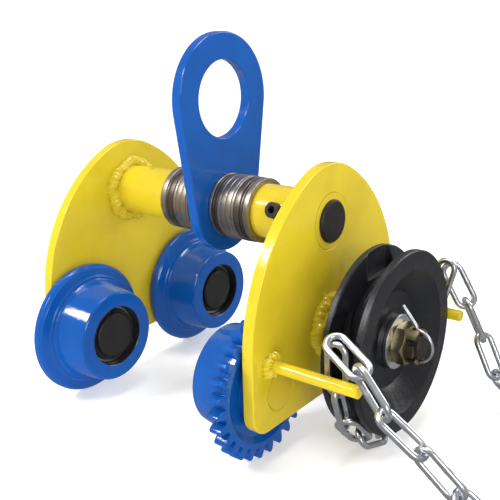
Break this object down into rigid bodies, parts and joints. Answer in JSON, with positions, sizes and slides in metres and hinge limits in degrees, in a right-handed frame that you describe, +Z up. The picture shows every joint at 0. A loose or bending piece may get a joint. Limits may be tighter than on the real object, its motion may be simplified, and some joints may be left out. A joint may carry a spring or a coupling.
{
  "type": "geared beam trolley",
  "caption": "Hand-chain beam trolley: two arched side plates on a cross shaft, four bearing wheels, a geared chain drive and a swinging hanger plate with a lifting eye.",
  "frame": {"origin": "bottom centre of the trolley's box, its hand chain left out, on the surface that its four wheels stand on", "axes": "+X along the cross shaft towards the hand wheel, +Y along the beam, +Z up as it stands on its wheels with the hanger plate upright; in use the trolley is turned over, the beam's lower flange on the wheel treads and the eye hanging down"},
  "size_m": [0.585, 0.328, 0.324],
  "materials": {
    "yellow_paint": "semi-gloss sprayed paint",
    "blue_paint": "semi-gloss sprayed paint",
    "black_steel": "blackened steel, lightly oiled",
    "black_cast_iron": "satin black paint on cast iron",
    "bearing_steel": "ground steel",
    "washer_steel": "dull plated steel",
    "bright_zinc": "bright zinc plate",
    "yellow_zinc": "yellow passivated zinc plate",
    "bush_bronze": "machined bronze",
    "seal_rubber": "matt moulded rubber"
  },
  "bodies": {
    "far_side": {"far_side_plate": "yellow_paint", "far_sleeve": "yellow_paint", "cross_shaft": "black_steel", "far_sleeve_pin": "yellow_paint", "far_washer_pack": "washer_steel", "near_washer_pack": "washer_steel", "far_left_axle": "black_steel", "far_right_axle": "black_steel", "far_inner_rings": "bearing_steel", "far_bearing_balls": "bearing_steel", "far_ring_spacers": "bearing_steel", "far_axle_circlips": "black_steel", "far_weld_beads": "yellow_paint"},
    "near_side": {"near_side_plate": "yellow_paint", "near_sleeve": "yellow_paint", "sleeve_grub_screw": "black_steel", "near_left_axle": "black_steel", "near_right_axle": "black_steel", "near_inner_rings": "bearing_steel", "near_bearing_balls": "bearing_steel", "near_ring_spacers": "bearing_steel", "near_axle_circlips": "black_steel", "near_weld_beads": "yellow_paint", "left_chain_guide": "yellow_paint", "right_chain_guide": "yellow_paint", "drive_housing": "yellow_paint", "drive_bush": "bush_bronze", "pinion_thrust_washer": "bush_bronze", "hand_chain_on_wheel": "bright_zinc", "hand_chain_front_run": "bright_zinc", "hand_chain_back_run": "bright_zinc", "hand_chain_hank": "bright_zinc"},
    "hanger": {"hanger_plate": "blue_paint"},
    "far_left_wheel": {"far_left_wheel": "blue_paint", "far_left_outer_rings": "bearing_steel", "far_left_seals": "seal_rubber"},
    "far_right_wheel": {"far_right_wheel": "blue_paint", "far_right_outer_rings": "bearing_steel", "far_right_seals": "seal_rubber"},
    "near_left_wheel": {"near_left_wheel": "blue_paint", "near_left_outer_rings": "bearing_steel", "near_left_seals": "seal_rubber"},
    "near_right_wheel": {"near_right_wheel": "blue_paint", "near_right_outer_rings": "bearing_steel", "near_right_seals": "seal_rubber"},
    "hand_drive": {"drive_shaft": "black_steel", "drive_pinion": "bearing_steel", "pinion_key": "bearing_steel", "pinion_circlip": "black_steel", "hand_wheel": "black_cast_iron", "hand_wheel_key": "bearing_steel", "nut_washer": "bright_zinc", "castle_nut": "yellow_zinc", "split_pin": "bright_zinc"}
  },
  "joints": [
    {"name": "width_adjust", "type": "slide", "parent": "far_side", "child": "near_side", "axis": [1, 0, 0], "range_m": [0, 0.025]},
    {"name": "hanger_swing", "type": "hinge", "parent": "far_side", "child": "hanger", "pos_m": [-0.03615, 0, 0.178], "axis": [1, 0, 0], "range_deg": [-75, 75]},
    {"name": "far_left_wheel_spin", "type": "hinge", "parent": "far_side", "child": "far_left_wheel", "pos_m": [-0.12945, -0.072, 0.06], "axis": [1, 0, 0], "continuous": true},
    {"name": "far_right_wheel_spin", "type": "hinge", "parent": "far_side", "child": "far_right_wheel", "pos_m": [-0.12945, 0.072, 0.06], "axis": [1, 0, 0], "continuous": true},
    {"name": "near_left_wheel_spin", "type": "hinge", "parent": "near_side", "child": "near_left_wheel", "pos_m": [0.04055, -0.072, 0.06], "axis": [1, 0, 0], "continuous": true},
    {"name": "near_right_wheel_spin", "type": "hinge", "parent": "near_side", "child": "near_right_wheel", "pos_m": [0.04055, 0.072, 0.06], "axis": [1, 0, 0], "continuous": true},
    {"name": "hand_drive_spin", "type": "hinge", "parent": "near_side", "child": "hand_drive", "pos_m": [0.12755, 0, 0.09], "axis": [1, 0, 0], "continuous": true}
  ],
  "couplings": [
    {"joint": "near_left_wheel_spin", "follows": "hand_drive_spin", "ratio": -0.39286},
    {"joint": "near_right_wheel_spin", "follows": "hand_drive_spin", "ratio": -0.39286}
  ]
}
